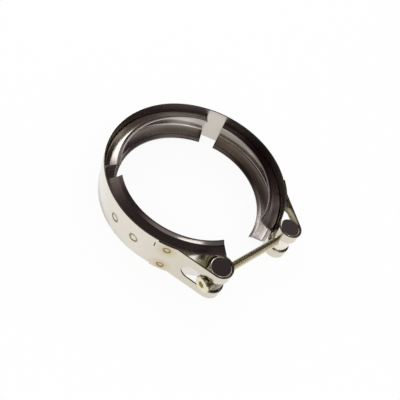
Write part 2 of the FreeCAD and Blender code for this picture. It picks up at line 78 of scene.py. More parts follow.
# Each insert's body, first azimuth and sweep.
INSERTS = {
    "rear_insert": ("root", 44.7, 102.6),
    "left_insert": ("left_arm", 157.4, 94.4),
    "right_insert": ("right_arm", 290.1, 102.0),
}
JOINT_PLACES = {joint["name"]: joint["pos_m"] for joint in frame["joints"]}
PIN_X, PIN_Y, _ = JOINT_PLACES["threaded_pin_turn"]
PIN_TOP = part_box("threaded_trunnion")[1].z
HEAD_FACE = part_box("screw")[0].x
HEAD_UNDER = -0.038
SHANK_START = HEAD_UNDER - 0.001
RECESS_REACH = 0.00283
BESIDE_RECESS = 0.0036
SCREW_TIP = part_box("screw")[1].x
PITCH = 0.001
THREAD_CREST = 0.003
THREAD_ROOT = 0.0024

# Eased edges: the strip's, the inserts' and the head's, and the inserts' lips.
BAND_EASING = 0.00018
FINE_EASING = 0.00012
LIP_EASING = 0.0004

# Azimuths, and heights off the middle, of the spot welds and of the painted shadow of the
# gap at the strip's left end.
WELD_TURNS = (68.35, 95.85, 123.35, 0, -16, 180, 196)
END_WELD_TURNS = (-36, 216)
END_WELD_HEIGHT = 0.0095
GAP_SHADOW_TURN = 208.6
GAP_SHADOW_HEIGHT = 0.0086


def polar(radius, degrees, z=0.0):
    turn = math.radians(degrees)
    return Vector((radius * math.cos(turn), radius * math.sin(turn), z))


def sky(azimuth, elevation):
    """The direction towards a place in the studio."""
    rise = math.radians(elevation)
    return polar(math.cos(rise), azimuth, math.sin(rise))


# Helpers for node trees

ORIGIN = (0.0, 0.0, 0.0)
SOCKETS = {
    float: "NodeSocketFloat", int: "NodeSocketInt", tuple: "NodeSocketVector",
    type(None): "NodeSocketGeometry",
}


def new_tree(name, kind, inputs, outputs):
    """A node group, with its first and last node. The kind of each value gives its socket's."""
    tree = bpy.data.node_groups.new(name, kind)
    for label, value in inputs.items():
        item = tree.interface.new_socket(label, in_out="INPUT", socket_type=SOCKETS[type(value)])
        if value is not None:
            item.default_value = value
    for label, value in outputs.items():
        tree.interface.new_socket(label, in_out="OUTPUT", socket_type=SOCKETS[type(value)])
    return tree, tree.nodes.new("NodeGroupInput"), tree.nodes.new("NodeGroupOutput")


def feed(tree, socket, value):
    """Links a socket to the input, or gives the input a value."""
    if isinstance(value, bpy.types.NodeSocket):
        tree.links.new(value, socket)
    else:
        socket.default_value = value


def put(tree, kind, links=None, **settings):
    """A node with its properties set and its inputs fed."""
    node = tree.nodes.new(kind)
    for name, value in settings.items():
        setattr(node, name, value)
    for key, value in (links or {}).items():
        feed(tree, node.inputs[key], value)
    return node


def use_group(tree, group, **values):
    """The outputs of a group placed in the tree, with its inputs fed by their names."""
    node = put(tree, "ShaderNodeGroup", node_tree=group)
    for name, value in values.items():
        feed(tree, node.inputs[name.replace("_", " ")], value)
    return node.outputs


def hand_out(tree, end, *values):
    """Feeds a group's outputs in their order, and gives back the finished group."""
    for value, socket in zip(values, end.inputs):
        tree.links.new(value, socket)
    return tree


def maths(tree, operation, *values, clamp=False):
    links = dict(enumerate(values))
    return put(tree, "ShaderNodeMath", links, operation=operation, use_clamp=clamp).outputs[0]


def times(tree, *values):
    """The product of all the values."""
    product, *others = values
    for value in others:
        product = maths(tree, "MULTIPLY", product, value)
    return product


def vector_maths(tree, operation, *values):
    node = put(tree, "ShaderNodeVectorMath", dict(enumerate(values)), operation=operation)
    single = operation in ("LENGTH", "DISTANCE", "DOT_PRODUCT")
    return node.outputs["Value" if single else "Vector"]


def parts(tree, place):
    """The x, y and z of a place."""
    return put(tree, "ShaderNodeSeparateXYZ", {0: place}).outputs


def joined(tree, *values):
    """The place with this x, y and z."""
    return put(tree, "ShaderNodeCombineXYZ", dict(enumerate(values))).outputs[0]


def ramp(tree, value, low, high, to_low=0.0, to_high=1.0):
    links = {0: value, 1: low, 2: high, 3: to_low, 4: to_high}
    return put(tree, "ShaderNodeMapRange", links, interpolation_type="SMOOTHSTEP").outputs[0]


def noise(tree, place, scale, detail, rough=0.5):
    links = {"Vector": place, "Scale": scale, "Detail": detail, "Roughness": rough}
    return put(tree, "ShaderNodeTexNoise", links).outputs["Fac"]


def blend_colour(tree, share, first, second):
    node = put(tree, "ShaderNodeMix", data_type="RGBA")
    for socket, value in zip((node.inputs[0], node.inputs[6], node.inputs[7]), (share, first, second)):
        feed(tree, socket, value)
    return node.outputs[2]


# Shader groups

# How fast the rolled lines change round the ring, and how close the lines across it are.
LINES_ROUND = 7.0
CROSS_DENSITY = 260.0


def rolled_grain():
    """Lines left by rolling, along the ring and across it, and slow clouds from handling."""
    tree, start, end = new_tree(
        "rolled_grain", "ShaderNodeTree",
        {"Place": ORIGIN, "Line Density": 2600.0, "Radial Share": 0.0, "Cloud Scale": 70.0},
        {"Lines": 0.0, "Clouds": 0.0, "Broad Lines": 0.0, "Cross Lines": 0.0},
    )
    place, density, radial, cloud_scale = start.outputs[:4]
    x, y, z = parts(tree, place)
    turn = maths(tree, "ARCTAN2", y, x)
    radius = vector_maths(tree, "LENGTH", joined(tree, x, y))
    out = times(tree, radius, density, radial)
    along = joined(tree, times(tree, turn, LINES_ROUND), out, times(tree, z, density))
    across = joined(tree, *(times(tree, value, CROSS_DENSITY) for value in (turn, radius, z)))
    return hand_out(
        tree, end,
        noise(tree, along, scale=1.0, detail=3.0, rough=0.6),
        noise(tree, place, scale=cloud_scale, detail=3.0, rough=0.55),
        noise(tree, along, scale=0.22, detail=2.0),
        noise(tree, across, scale=1.0, detail=3.0, rough=0.65),
    )


# How far a weld's ring wanders.
WELD_WOBBLE = 0.0012


def weld_spot():
    """Distance masks round one resistance weld: its dark ring, its bright middle, its heat halo."""
    tree, start, end = new_tree(
        "weld_spot", "ShaderNodeTree",
        {
            "Place": ORIGIN, "Centre": ORIGIN, "Before": ORIGIN,
            "Ring Radius": 0.0026, "Ring Width": 0.0006, "Halo Radius": 0.006,
        },
        {"Ring, Middle, Halo": ORIGIN},
    )
    place, centre, before, ring_radius, ring_width, halo_radius = start.outputs[:6]
    uneven = maths(tree, "SUBTRACT", noise(tree, place, scale=520.0, detail=2.0), 0.5)
    away = vector_maths(tree, "DISTANCE", place, centre)
    away = maths(tree, "ADD", away, times(tree, uneven, WELD_WOBBLE))
    off_ring = maths(tree, "ABSOLUTE", maths(tree, "SUBTRACT", away, ring_radius))
    masks = (
        maths(tree, "SUBTRACT", 1.0, maths(tree, "DIVIDE", reach, size), clamp=True)
        for reach, size in ((off_ring, ring_width), (away, ring_radius), (away, halo_radius))
    )
    return hand_out(tree, end, vector_maths(tree, "MAXIMUM", joined(tree, *masks), before))


def turning_marks():
    """Rings that a lathe leaves round a line along Z through a centre."""
    tree, start, end = new_tree(
        "turning_marks", "ShaderNodeTree",
        {"Offset": ORIGIN, "Density": 5000.0}, {"Rings": 0.0, "Clouds": 0.0},
    )
    centre, density = start.outputs[:2]
    place = put(tree, "ShaderNodeTexCoord").outputs["Object"]
    x, y, z = parts(tree, vector_maths(tree, "SUBTRACT", place, centre))
    away = vector_maths(tree, "LENGTH", joined(tree, x, y))
    sweep = joined(tree, times(tree, away, density), times(tree, z, density))
    rings = noise(tree, sweep, scale=0.5, detail=2.0, rough=0.6)
    return hand_out(tree, end, rings, noise(tree, place, scale=260.0, detail=3.0))


# How many degrees the painted shade's ends take to fade, each way, and the least painted shade inside the
# band.
SHADE_FADE = 0.6
LEAST_SHADE = 0.32


def weld_film():
    """Where the band's inside is given painted shade: beside the inserts most of all."""
    tree, start, end = new_tree("weld_film", "ShaderNodeTree", {"Place": ORIGIN}, {"Shade": 0.0})
    x, y, _ = parts(tree, start.outputs["Place"])
    flat = joined(tree, x, y)
    radius = vector_maths(tree, "LENGTH", flat)
    way = vector_maths(tree, "NORMALIZE", flat)
    beside = 0.0
    for _, first, sweep in INSERTS.values():
        near = vector_maths(tree, "DOT_PRODUCT", way, polar(1.0, first + sweep / 2))
        edge = [math.cos(math.radians(sweep / 2 + fade)) for fade in (SHADE_FADE, -SHADE_FADE)]
        beside = maths(tree, "MAXIMUM", beside, ramp(tree, near, *edge))
    inside = ramp(tree, radius, BAND_OUTER - 0.6 * SHEET, BAND_OUTER - 0.4 * SHEET, 1.0, 0.0)
    # there is less painted shade at the rear and next to the right loop
    at_rear = times(tree, ramp(tree, y, 0.025, 0.05), ramp(tree, x, -0.015, 0.02, 0.65, 0.12))
    at_loop = times(tree, ramp(tree, y, -0.06, -0.052, 0.7, 0.0), ramp(tree, x, 0.0, 0.01))
    shade_kept = maths(tree, "SUBTRACT", 1.0, maths(tree, "MAXIMUM", at_rear, at_loop))
    painted_inner_shade = maths(tree, "MAXIMUM", times(tree, beside, shade_kept), LEAST_SHADE)
    return hand_out(tree, end, times(tree, painted_inner_shade, inside))


GRAIN = rolled_grain()
INNER_SHADE_GROUP = weld_film()
SPOT = weld_spot()
TURNED = turning_marks()


# Helpers for the steels

def new_steel(name):
    """A bare metal, with its tree and its shader."""
    material = bpy.data.materials.new(name)
    material.use_nodes = True
    tree = material.node_tree
    tree.nodes.clear()
    shader = put(tree, "ShaderNodeBsdfPrincipled", {"Metallic": 1.0})
    put(tree, "ShaderNodeOutputMaterial", {0: shader.outputs[0]})
    return material, tree, shader


def weld_marks(tree, place, centres, **sizes):
    """The rings, middles and halos of all the welds at these centres."""
    masks = ORIGIN
    for centre in centres:
        masks = use_group(tree, SPOT, Place=place, Centre=centre, Before=masks, **sizes)[0]
    return parts(tree, masks)


def set_colour(tree, shader, clouds, darker, lighter, coats):
    """Clouds between two tints, under named coats, each of them a share and a tint."""
    colour = blend_colour(tree, clouds, (*darker, 1), (*lighter, 1))
    for name, (share, tint) in coats.items():
        colour = blend_colour(tree, share, colour, (*tint, 1))
        colour.node.label = name
    feed(tree, shader.inputs["Base Color"], colour)


def set_roughness(tree, shader, least, *shares):
    """The least roughness, and what each pattern adds to it."""
    total, *others = [times(tree, pattern, share) for pattern, share in shares]
    for value in (*others, least):
        total = maths(tree, "ADD", total, value)
    feed(tree, shader.inputs["Roughness"], total)


def set_bump(tree, shader, height, distance, strength, before=None):
    links = {"Height": height, "Distance": distance, "Strength": strength}
    if before is not None:
        links["Normal"] = before
    bump = put(tree, "ShaderNodeBump", links).outputs[0]
    feed(tree, shader.inputs["Normal"], bump)
    return bump


# Steels. Their zones are places in the clamp's own frame, in metres.

BAND_GRAIN = {"Line_Density": 2600.0, "Radial_Share": 0.0, "Cloud_Scale": 55.0}
BAND_WELD = {"Ring_Radius": 0.0030, "Ring_Width": 0.0011, "Halo_Radius": 0.0060}
END_WELD = {"Ring_Radius": 0.0022, "Ring_Width": 0.0009, "Halo_Radius": 0.0085}
# The way that the right loop's outer leg faces.
RIGHT_LEG_OUT = (0.9, -0.43, 0.0)


def gap_shadow_mask(tree, place, height):
    """A short painted shadow on the band, just before the left end of the strip, for the gap at the strip's
    end.
    """
    across = vector_maths(tree, "DOT_PRODUCT", place, polar(1.0, GAP_SHADOW_TURN + 90))
    facing = vector_maths(tree, "DOT_PRODUCT", place, polar(1.0, GAP_SHADOW_TURN))
    narrow = ramp(tree, maths(tree, "ABSOLUTE", across), 0.0002, 0.00055, 1.0, 0.0)
    reach = maths(tree, "ABSOLUTE", maths(tree, "SUBTRACT", height, GAP_SHADOW_HEIGHT))
    short = ramp(tree, reach, 0.0016, 0.0030, 1.0, 0.0)
    return times(tree, narrow, short, maths(tree, "GREATER_THAN", facing, 0.0))


def band_sheet():
    """Pale rolled strip, with weld rings, straw heat colours, painted shade inside, and a painted gap shadow
    and a painted reflection on its outside.
    """
    material, tree, shader = new_steel("band_sheet")
    # the strip bends, so its pattern goes by where each point lies at rest
    place = put(tree, "ShaderNodeAttribute", attribute_name="rest_place").outputs["Vector"]
    x, y, z = parts(tree, place)
    radius = vector_maths(tree, "LENGTH", joined(tree, x, y))
    grain = use_group(tree, GRAIN, Place=place, **BAND_GRAIN)
    lines, clouds = grain["Lines"], grain["Clouds"]
    centres = [polar(BAND_OUTER, turn) for turn in WELD_TURNS]
    ring, middle, halo = weld_marks(tree, place, centres, **BAND_WELD)
    heights = (END_WELD_HEIGHT, -END_WELD_HEIGHT)
    centres = [polar(BAND_OUTER + SHEET, turn, high) for turn in END_WELD_TURNS for high in heights]
    end_ring, end_middle, end_halo = weld_marks(tree, place, centres, **END_WELD)
    rings = maths(tree, "MAXIMUM", ring, end_ring)
    outside = maths(tree, "GREATER_THAN", radius, BAND_OUTER - 0.3 * SHEET)
    first_layer = maths(tree, "LESS_THAN", radius, BAND_OUTER + 0.5 * SHEET)
    # painted shade inside the band, darkest beside the inserts; it also adds roughness there
    painted_inner_shade = times(tree, use_group(tree, INNER_SHADE_GROUP, Place=place)[0], 0.88)
    normal = put(tree, "ShaderNodeTexCoord").outputs["Normal"]
    # painted shade on the inner face of the right loop's outer leg
    loop_shade = ramp(tree, vector_maths(tree, "DOT_PRODUCT", normal, RIGHT_LEG_OUT), -0.3, -0.6)
    loop_shade = times(tree, loop_shade, ramp(tree, y, -0.03, -0.022, 1.0, 0.0), ramp(tree, x, 0.03, 0.034), outside)
    set_colour(tree, shader, clouds, (0.74, 0.695, 0.61), (0.83, 0.785, 0.70), {
        # the band's colour goes darker towards the loops
        "darker towards the loops": (ramp(tree, y, -0.02, -0.045, 0.0, 0.5), (0.62, 0.57, 0.45)),
        "paler at the rear": (
            times(tree, ramp(tree, y, 0.0, 0.04, 0.0, 0.8), outside), (0.95, 0.92, 0.88),
        ),
        # painted reflection: the strip's outer face under the loops is lightened
        "painted reflection under the loops": (
            times(tree, ramp(tree, y, -0.036, -0.04), outside, first_layer, 0.85), (0.97, 0.95, 0.86),
        ),
        "rolling lines": (times(tree, lines, 0.35), (0.72, 0.67, 0.58)),
        "straw at the end welds": (
            maths(tree, "MULTIPLY", end_halo, 1.1, clamp=True), (0.62, 0.50, 0.28),
        ),
        "straw at the side welds": (
            maths(tree, "MULTIPLY", halo, 0.5, clamp=True), (0.74, 0.66, 0.50),
        ),
        "weld rings": (times(tree, rings, 0.95), (0.16, 0.12, 0.065)),
        # painted shadow of the gap at the strip's left end
        "painted gap shadow": (times(tree, gap_shadow_mask(tree, place, z), outside), (0.05, 0.042, 0.03)),
        "painted_inner_shade": (painted_inner_shade, (0.30, 0.26, 0.25)),
        "painted shade inside the right loop": (
            times(tree, loop_shade, ramp(tree, clouds, 0.2, 0.7, 0.95, 0.7)), (0.30, 0.28, 0.21),
        ),
    })
    set_roughness(tree, shader, 0.12, (lines, 0.12), (clouds, 0.10), (painted_inner_shade, 0.12), (rings, 0.25))
    fine = set_bump(tree, shader, lines, distance=0.000015, strength=0.5)
    sunk = maths(tree, "SUBTRACT", rings, maths(tree, "MAXIMUM", middle, end_middle))
    set_bump(tree, shader, sunk, distance=0.00006, strength=0.5, before=fine)
    return material


INSERT_GRAIN = {"Line_Density": 2200.0, "Radial_Share": 1.0, "Cloud_Scale": 60.0}
INSERT_WELD = {"Ring_Radius": 0.0024, "Ring_Width": 0.0014, "Halo_Radius": 0.006}


def insert_sheet():
    """Darker rolled channel, with brown weld heat, brushed lips, and painted highlights and painted shade on
    its legs, lips and web.
    """
    material, tree, shader = new_steel("insert_sheet")
    place = put(tree, "ShaderNodeTexCoord").outputs["Object"]
    x, y, z = parts(tree, place)
    radius = vector_maths(tree, "LENGTH", joined(tree, x, y))
    grain = use_group(tree, GRAIN, Place=place, **INSERT_GRAIN)
    lines, clouds, broad = grain["Lines"], grain["Clouds"], grain["Broad Lines"]
    centres = [polar(INSERT_BACK - INSERT_SHEET, turn) for turn in WELD_TURNS]
    _, _, heat = weld_marks(tree, place, centres, **INSERT_WELD)
    low = ramp(tree, z, -0.0085, -0.0065, 1.0, 0.0)
    high = ramp(tree, z, 0.006, 0.009)
    web = ramp(tree, maths(tree, "ABSOLUTE", z), 0.006, 0.0075, 1.0, 0.0)
    rear_leg = times(tree, high, ramp(tree, y, 0.022, 0.03), ramp(tree, radius, 0.0594, 0.0602))
    left_start = times(tree, ramp(tree, x, -0.052, -0.056), high)
    brushed = times(
        tree, maths(tree, "MAXIMUM", low, left_start),
        ramp(tree, grain["Cross Lines"], 0.35, 0.65, 1.0, 0.0),
    )
    at_right = times(tree, ramp(tree, x, 0.008, 0.012), ramp(tree, y, 0.0, 0.03, 1.0, 0.0))
    set_colour(tree, shader, clouds, (0.44, 0.40, 0.375), (0.52, 0.475, 0.45), {
        "broad lines": (times(tree, broad, 0.5), (0.36, 0.32, 0.30)),
        "brown at the welds": (times(tree, heat, 0.6), (0.34, 0.25, 0.16)),
        # painted shade on the insert's low leg
        "painted shade on the low leg": (
            times(
                tree, low, ramp(tree, x, -0.025, -0.005, 0.25, 0.95),
                ramp(tree, y, -0.045, -0.026, 0.35, 1.0),
            ),
            (0.26, 0.23, 0.215),
        ),
        # painted reflection on the rear insert's web
        "painted reflection on the rear web": (
            times(
                tree, web, ramp(tree, y, 0.042, 0.05), ramp(tree, x, 0.0, 0.012),
                ramp(tree, x, 0.034, 0.044, 1.0, 0.15), 0.8,
            ),
            (0.72, 0.675, 0.63),
        ),
        "stain on the right web": (
            times(tree, web, ramp(tree, x, 0.045, 0.055), ramp(tree, y, 0.0, 0.015), 0.7),
            (0.27, 0.235, 0.19),
        ),
        "stain on the low right leg": (
            times(tree, ramp(tree, x, 0.03, 0.05), low, ramp(tree, clouds, 0.3, 0.6), 0.6),
            (0.30, 0.23, 0.15),
        ),
        "brushed across": (times(tree, brushed, 0.45), (0.10, 0.085, 0.08)),
        # painted shade on the right insert's high leg
        "painted shade on the high right leg": (times(tree, high, at_right, 0.9), (0.13, 0.105, 0.10)),
        # painted highlight on the rear insert's upper leg
        "painted highlight on the rear leg": (
            times(
                tree, rear_leg, ramp(tree, x, -0.012, -0.026, 0.0, 0.85),
                ramp(tree, x, -0.048, -0.034, 0.1, 1.0),
            ),
            (0.80, 0.76, 0.70),
        ),
        # painted shade on the right part of the rear insert's upper leg
        "painted shade on the rear leg's right part": (
            times(tree, rear_leg, ramp(tree, x, 0.012, 0.03, 0.0, 0.5)), (0.22, 0.19, 0.18),
        ),
        # painted shade on the front inserts' upper lip
        "painted shade on the front lip": (
            times(
                tree, ramp(tree, radius, 0.0572, 0.0577, 1.0, 0.0), high,
                ramp(tree, y, -0.002, -0.02), 0.75,
            ),
            (0.17, 0.145, 0.135),
        ),
        # painted shade on the inserts' ends by the opening
        "painted shade at the ends by the opening": (
            times(tree, high, ramp(tree, y, -0.053, -0.047, 0.65, 0.0)), (0.06, 0.053, 0.052),
        ),
        # painted shade on the edge of the inserts' low lip
        "painted shade on the low lip's edge": (
            times(
                tree, ramp(tree, radius, LIP + 0.00005, LIP + 0.00025, 1.0, 0.0),
                maths(tree, "LESS_THAN", z, 0.0), ramp(tree, x, 0.012, 0.032), 0.9,
            ),
            (0.045, 0.037, 0.034),
        ),
    })
    set_roughness(tree, shader, 0.06, (lines, 0.10), (clouds, 0.08), (brushed, 0.15))
    relief = maths(tree, "ADD", lines, times(tree, broad, 2.0))
    set_bump(tree, shader, relief, distance=0.00003, strength=0.6)
    return material


def pin_steel(name, centre, side_tint, end_tint):
    """Turned steel with a tint of its own on the flat ends, and a side tint that is painted shade on the
    plain pin and the pin's own pale tone on the threaded pin.
    """
    material, tree, shader = new_steel(name)
    rings, clouds = use_group(tree, TURNED, Offset=centre, Density=5200.0)
    z = parts(tree, put(tree, "ShaderNodeTexCoord").outputs["Object"])[2]
    height = maths(tree, "ABSOLUTE", z)
    set_colour(tree, shader, clouds, (0.76, 0.72, 0.62), (0.86, 0.82, 0.73), {
        "turning marks": (times(tree, rings, 0.4), (0.62, 0.58, 0.49)),
        # the side tint: painted shade on the plain pin, its own pale tone on the threaded pin
        "side": (ramp(tree, height, PIN_TOP - 0.0015, PIN_TOP - 0.0004, 0.92, 0.0), side_tint),
        "ends": (ramp(tree, height, PIN_TOP - 0.00008, PIN_TOP - 0.00003), end_tint),
    })
    set_roughness(tree, shader, 0.07, (rings, 0.12), (clouds, 0.08))
    set_bump(tree, shader, rings, distance=0.00002, strength=0.5)
    return material


def screw_steel():
    """Yellowish plating, with painted shade on the head's side and in the thread's roots, and painted light
    in the recess.
    """
    material, tree, shader = new_steel("screw_steel")
    place = put(tree, "ShaderNodeTexCoord").outputs["Object"]
    x, y, z = parts(tree, vector_maths(tree, "SUBTRACT", place, (0.0, PIN_Y, 0.0)))
    away = vector_maths(tree, "LENGTH", joined(tree, y, z))
    clouds = noise(tree, place, scale=420.0, detail=3.0)
    shank = maths(tree, "GREATER_THAN", x, HEAD_UNDER)
    head = maths(tree, "SUBTRACT", 1.0, shank)
    within = maths(tree, "LESS_THAN", away, RECESS_REACH)
    sunk = maths(tree, "GREATER_THAN", x, HEAD_FACE + 0.0001)
    set_colour(tree, shader, clouds, (0.74, 0.695, 0.485), (0.85, 0.815, 0.645), {
        # painted shade in the thread's roots
        "painted shade in the thread's roots": (
            times(tree, ramp(tree, away, THREAD_ROOT, THREAD_CREST, 1.0, 0.0), shank, 0.85),
            (0.24, 0.21, 0.11),
        ),
        # painted light inside the head's recess
        "painted light in the recess": (times(tree, within, sunk, head), (0.93, 0.87, 0.64)),
        # painted shade on the head's side, darker on its upper side
        "painted shade on the head's side": (
            times(
                tree, ramp(tree, x, HEAD_FACE + 0.0006, HEAD_FACE + 0.0011), head,
                ramp(tree, away, BESIDE_RECESS - 0.0002, BESIDE_RECESS + 0.0002),
                ramp(tree, z, -0.001, 0.003, 0.45, 0.92),
            ),
            (0.16, 0.14, 0.075),
        ),
    })
    set_roughness(tree, shader, 0.14, (clouds, 0.15))
    set_bump(tree, shader, clouds, distance=0.00003, strength=0.4)
    return material


# Helpers for the pieces

# Points nearer than this are one, and faces that lean by fewer degrees than this are flat.
SAME_POINT = 1e-7
SAME_GRID_POINT = 1e-6
FLAT_ENOUGH = 0.3


@contextlib.contextmanager
def edited(mesh):
    """The mesh's faces opened for editing, and written back afterwards."""
    form = bmesh.new()
    form.from_mesh(mesh)
    yield form
    form.to_mesh(mesh)
    form.free()


def add_object(name, data):
    thing = bpy.data.objects.new(name, data)
    bpy.context.scene.collection.objects.link(thing)
    return thing


def add_piece(name, mesh, material):
    mesh.materials.clear()
    mesh.materials.append(material)
    return add_object(name, mesh)


def shade(mesh, sharp):
    """Smooth faces, parted where they meet at more than the sharp angle."""
    for polygon in mesh.polygons:
        polygon.use_smooth = True
    mesh.set_sharp_from_angle(angle=math.radians(sharp))


def soften_edges(piece, width, angle):
    bevel = piece.modifiers.new("soft_edges", "BEVEL")
    bevel.width = width
    bevel.segments = 2
    bevel.limit_method = "ANGLE"
    bevel.angle_limit = math.radians(angle)


def work_in(piece):
    """Works the piece's modifiers into its mesh."""
    bpy.context.view_layer.update()
    depsgraph = bpy.context.evaluated_depsgraph_get()
    mesh = bpy.data.meshes.new_from_object(piece.evaluated_get(depsgraph))
    piece.modifiers.clear()
    piece.data = mesh


def cap_holes(form):
    rim = [edge for edge in form.edges if len(edge.link_faces) == 1]
    bmesh.ops.holes_fill(form, edges=rim, sides=0)


def merged_copy(node, name):
    """The CAD solid's own surface with its loose triangles joined."""
    mesh = frame["nodes"][node].data.copy()
    mesh.name = name
    for layer in list(mesh.attributes):
        if layer.name == "custom_normal":
            mesh.attributes.remove(layer)
    with edited(mesh) as form:
        bmesh.ops.remove_doubles(form, verts=form.verts, dist=SAME_POINT)
        bmesh.ops.dissolve_limit(
            form, angle_limit=math.radians(FLAT_ENOUGH), verts=form.verts, edges=form.edges,
            delimit={"NORMAL"},
        )
        bmesh.ops.triangulate(form, faces=form.faces)
    return mesh


def finish_tree(tree, end, grid, spot, material):
    """Ends a tree: the grid's points go to their spots, and its seams are welded."""
    links = {"Geometry": grid.outputs["Mesh"], "Position": spot}
    moved = put(tree, "GeometryNodeSetPosition", links).outputs[0]
    links = {"Geometry": moved, "Distance": SAME_GRID_POINT}
    welded = put(tree, "GeometryNodeMergeByDistance", links).outputs[0]
    real = put(tree, "GeometryNodeRealizeInstances", {0: welded}).outputs[0]
    links = {"Geometry": real, "Material": material}
    return hand_out(tree, end, put(tree, "GeometryNodeSetMaterial", links).outputs[0])


def grow(piece, tree, **values):
    """Works a Geometry Nodes tree into the piece, its sizes set by the sockets' identifiers."""
    modifier = piece.modifiers.new(tree.name, "NODES")
    modifier.node_group = tree
    for item in tree.interface.items_tree:
        key = item.name.replace(" ", "_")
        if item.in_out == "INPUT" and key in values:
            modifier[item.identifier] = values[key]
    work_in(piece)


# The band

# Where the strip is parted for its two flexing halves, a little off the middle of the rear.
MIDDLE_CUT = 0.0006


def band_half(source, side, material):
    """One half of the strip, from the middle of the rear to its loop, closed where it is cut."""
    mesh = source.copy()
    mesh.name = "band_right" if side > 0 else "band_left"
    with edited(mesh) as form:
        geometry = form.verts[:] + form.edges[:] + form.faces[:]
        cut = bmesh.ops.bisect_plane(
            form, geom=geometry, dist=1e-8, plane_co=(MIDDLE_CUT, 0, 0), plane_no=(1, 0, 0),
            clear_inner=side > 0, clear_outer=side < 0,
        )
        edges = (part for part in cut["geom_cut"] if isinstance(part, bmesh.types.BMEdge))
        bmesh.ops.holes_fill(form, edges=[edge for edge in edges if edge.is_valid], sides=0)
    shade(mesh, sharp=35)
    rest = mesh.attributes.new("rest_place", "FLOAT_VECTOR", "POINT")
    rest.data.foreach_set("vector", [part for point in mesh.vertices for part in point.co])
    return add_piece(mesh.name, mesh, material)


def make_band(material):
    strip = add_piece("band_whole", merged_copy("band", "band_whole"), material)
    soften_edges(strip, BAND_EASING, angle=40)
    work_in(strip)
    left = band_half(strip.data, -1, material)
    right = band_half(strip.data, 1, material)
    bpy.data.objects.remove(strip)
    # the strip flexes in the gaps between the inserts
    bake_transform(left, "root", "left_arm", start=polar(0.0685, 140), end=polar(0.0685, 156))
    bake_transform(right, "root", "right_arm", start=polar(0.0685, 40), end=polar(0.0685, 24))
    for piece in (left, right):
        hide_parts("band")


# The inserts

def insert_section():
    """Closed outline of the channel, as radius and height, with its sheared edges eased."""
    def way(degrees):
        return Vector((math.cos(math.radians(degrees)), math.sin(math.radians(degrees))))

    def arc(middle, radius, first, last, count):
        turns = (first + (last - first) * i / count for i in range(count + 1))
        return [middle + way(turn) * radius for turn in turns]

    leg_out = way(90 - LEG_LEAN)
    lip_out = way(90 - LIP_LEAN)
    bend_out = INSERT_BEND + INSERT_SHEET
    flare_in = LIP_BEND + INSERT_SHEET
    corner = Vector((LIP, LIP_TOP))
    edge = corner - Vector((0, INSERT_SHEET / lip_out.y))
    hub = corner + way(-LIP_LEAN) * LIP_LENGTH + lip_out * LIP_BEND
    leg_top = hub - leg_out * LIP_BEND
    run = (INSERT_BACK - bend_out + leg_out.x * bend_out - leg_top.x) / leg_out.y
    centre = leg_top + way(-LEG_LEAN) * run - leg_out * bend_out
    half = arc(centre, INSERT_BEND, 0, 90 - LEG_LEAN, count=8)
    half += arc(hub, flare_in, 270 - LEG_LEAN, 270 - LIP_LEAN, count=6)
    slope = math.radians(LIP_LEAN)
    for easing, start, rise, first, last in (
        (LIP_EASING / 3, edge, 1, 180 + 90 - LIP_LEAN, 180),
        (LIP_EASING, corner, -1, 180, 90 - LIP_LEAN),
    ):
        drop = easing * (rise / math.cos(slope) - math.tan(slope))
        half += arc(start + Vector((easing, drop)), easing, first, last, count=6)
    half += arc(hub, LIP_BEND, 270 - LIP_LEAN, 270 - LEG_LEAN, count=6)
    half += arc(centre, bend_out, 90 - LEG_LEAN, 0, count=12)
    return half + [Vector((point.x, -point.y)) for point in reversed(half)]


def rolled_channel(material):
    """Sweeps a closed section, drawn as radius and height, round the ring's axis."""
    tree, start, end = new_tree(
        "rolled_channel", "GeometryNodeTree",
        {"Section": None, "Start Angle": 0.0, "Sweep Angle": 90.0, "Steps": 90},
        {"Channel": None},
    )
    section, start_angle, sweep_angle, steps = start.outputs[:4]
    size = put(tree, "GeometryNodeAttributeDomainSize", {0: section}, component="MESH")
    count = size.outputs["Point Count"]
    columns = maths(tree, "ADD", count, 1.0)
    grid = put(tree, "GeometryNodeMeshGrid", {
        "Size X": 1.0, "Size Y": 1.0,
        "Vertices X": maths(tree, "ADD", steps, 1.0), "Vertices Y": columns,
    })
    index = put(tree, "GeometryNodeInputIndex").outputs[0]
    row = maths(tree, "FLOOR", maths(tree, "DIVIDE", maths(tree, "ADD", index, 0.5), columns))
    column = maths(tree, "SUBTRACT", index, times(tree, row, columns))
    column = maths(tree, "MODULO", maths(tree, "ADD", column, 0.5), count)
    place = put(tree, "GeometryNodeInputPosition").outputs[0]
    sample = put(
        tree, "GeometryNodeSampleIndex", data_type="FLOAT_VECTOR", domain="POINT",
        links={"Geometry": section, "Index": maths(tree, "FLOOR", column)},
    )
    feed(tree, sample.inputs["Value"], place)
    radius, _, height = parts(tree, sample.outputs[0])
    turn = times(tree, maths(tree, "DIVIDE", row, steps), sweep_angle)
    turn = maths(tree, "RADIANS", maths(tree, "ADD", turn, start_angle))
    x = times(tree, radius, maths(tree, "COSINE", turn))
    y = times(tree, radius, maths(tree, "SINE", turn))
    return finish_tree(tree, end, grid, joined(tree, x, y, height), material)


def make_inserts(material):
    points = [(point.x, 0.0, point.y) for point in insert_section()]
    edges = [(i, (i + 1) % len(points)) for i in range(len(points))]
    tree = rolled_channel(material)
    for name, (body, first, sweep) in INSERTS.items():
        mesh = bpy.data.meshes.new(name + "_channel")
        mesh.from_pydata(points, edges, [])
        piece = add_object(name + "_channel", mesh)
        grow(piece, tree, Start_Angle=first, Sweep_Angle=sweep, Steps=int(sweep))
        with edited(piece.data) as form:
            cap_holes(form)
            bmesh.ops.recalc_face_normals(form, faces=form.faces)
        shade(piece.data, sharp=30)
        soften_edges(piece, FINE_EASING, angle=60)
        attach(piece, body)
        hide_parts(name)


# The screw and the pins

# The thread's rows, its form as shares of the pitch, and how fast it deepens at its start.
ROWS_PER_TURN = 8
CREST_FLAT = 0.06
FLANK_SLOPE = 2.6
RUN_IN_SLOPE = 800.0


